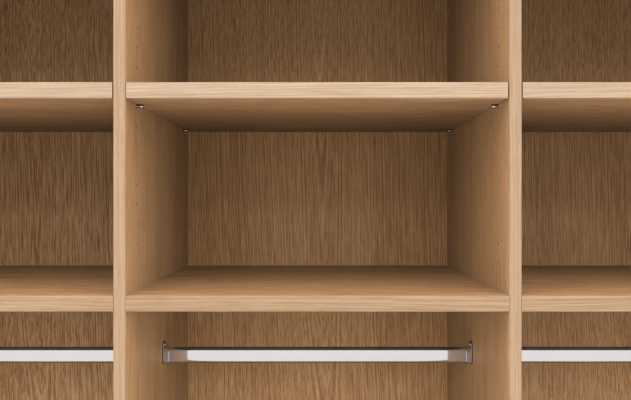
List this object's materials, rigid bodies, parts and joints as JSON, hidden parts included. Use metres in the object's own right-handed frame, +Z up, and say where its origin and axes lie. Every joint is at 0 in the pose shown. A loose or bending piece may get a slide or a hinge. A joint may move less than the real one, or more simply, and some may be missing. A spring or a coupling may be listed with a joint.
{
  "type": "open wardrobe",
  "caption": "Open wardrobe carcass in oak-faced board with side-by-side bays, fixed and adjustable shelves, oval hanging rails and grooved-in backs.",
  "frame": {"origin": "centre of the footprint at floor level, where the glides stand", "axes": "+Z up; +X to the right as seen from the open front; +Y from the open front to the wall"},
  "size_m": [1.846, 0.58, 2.2451],
  "materials": {
    "oak_upright": "matt oak board with upright grain and thin oak edge band",
    "oak_shelf": "matt oak board with grain along its length and thin oak edge band",
    "oak_back": "matt oak back panel with upright grain",
    "rail_chrome": "bright plated oval tube",
    "bracket_chrome": "bright plated casting",
    "screw_steel": "plated steel",
    "pin_nickel": "nickel-plated steel",
    "glide_plastic": "black moulded plastic",
    "bracket_zinc": "zinc-plated folded steel"
  },
  "bodies": {
    "carcass": {"side_panel_left": "oak_upright", "side_panel_left_glide_front": "glide_plastic", "side_panel_left_glide_rear": "glide_plastic", "partition_left": "oak_upright", "partition_left_glide_front": "glide_plastic", "partition_left_glide_rear": "glide_plastic", "partition_right": "oak_upright", "partition_right_glide_front": "glide_plastic", "partition_right_glide_rear": "glide_plastic", "side_panel_right": "oak_upright", "side_panel_right_glide_front": "glide_plastic", "side_panel_right_glide_rear": "glide_plastic", "left_bay_plinth_board": "oak_shelf", "left_bay_bottom_panel": "oak_shelf", "left_bay_fixed_shelf": "oak_shelf", "left_bay_top_panel": "oak_shelf", "left_bay_back_panel": "oak_back", "left_bay_hanging_rail": "rail_chrome", "left_bay_rail_bracket_left": "bracket_chrome", "left_bay_rail_bracket_right": "bracket_chrome", "left_bay_rail_screw_left": "screw_steel", "left_bay_rail_screw_right": "screw_steel", "left_bay_shelf_pin_front_left": "pin_nickel", "left_bay_shelf_pin_front_right": "pin_nickel", "left_bay_shelf_pin_rear_left": "pin_nickel", "left_bay_shelf_pin_rear_right": "pin_nickel", "left_bay_wall_bracket": "bracket_zinc", "centre_bay_plinth_board": "oak_shelf", "centre_bay_bottom_panel": "oak_shelf", "centre_bay_fixed_shelf": "oak_shelf", "centre_bay_top_panel": "oak_shelf", "centre_bay_back_panel": "oak_back", "centre_bay_hanging_rail": "rail_chrome", "centre_bay_rail_bracket_left": "bracket_chrome", "centre_bay_rail_bracket_right": "bracket_chrome", "centre_bay_rail_screw_left": "screw_steel", "centre_bay_rail_screw_right": "screw_steel", "centre_bay_shelf_pin_front_left": "pin_nickel", "centre_bay_shelf_pin_front_right": "pin_nickel", "centre_bay_shelf_pin_rear_left": "pin_nickel", "centre_bay_shelf_pin_rear_right": "pin_nickel", "centre_bay_wall_bracket": "bracket_zinc", "right_bay_plinth_board": "oak_shelf", "right_bay_bottom_panel": "oak_shelf", "right_bay_fixed_shelf": "oak_shelf", "right_bay_top_panel": "oak_shelf", "right_bay_back_panel": "oak_back", "right_bay_hanging_rail": "rail_chrome", "right_bay_rail_bracket_left": "bracket_chrome", "right_bay_rail_bracket_right": "bracket_chrome", "right_bay_rail_screw_left": "screw_steel", "right_bay_rail_screw_right": "screw_steel", "right_bay_shelf_pin_front_left": "pin_nickel", "right_bay_shelf_pin_front_right": "pin_nickel", "right_bay_shelf_pin_rear_left": "pin_nickel", "right_bay_shelf_pin_rear_right": "pin_nickel", "right_bay_wall_bracket": "bracket_zinc"},
    "left_bay_shelf": {"left_bay_adjustable_shelf": "oak_shelf"},
    "centre_bay_shelf": {"centre_bay_adjustable_shelf": "oak_shelf"},
    "right_bay_shelf": {"right_bay_adjustable_shelf": "oak_shelf"}
  },
  "joints": [
    {"name": "left_bay_shelf_slide", "type": "slide", "parent": "carcass", "child": "left_bay_shelf", "axis": [0, -1, 0], "range_m": [0, 0.6]},
    {"name": "centre_bay_shelf_slide", "type": "slide", "parent": "carcass", "child": "centre_bay_shelf", "axis": [0, -1, 0], "range_m": [0, 0.6]},
    {"name": "right_bay_shelf_slide", "type": "slide", "parent": "carcass", "child": "right_bay_shelf", "axis": [0, -1, 0], "range_m": [0, 0.6]}
  ]
}
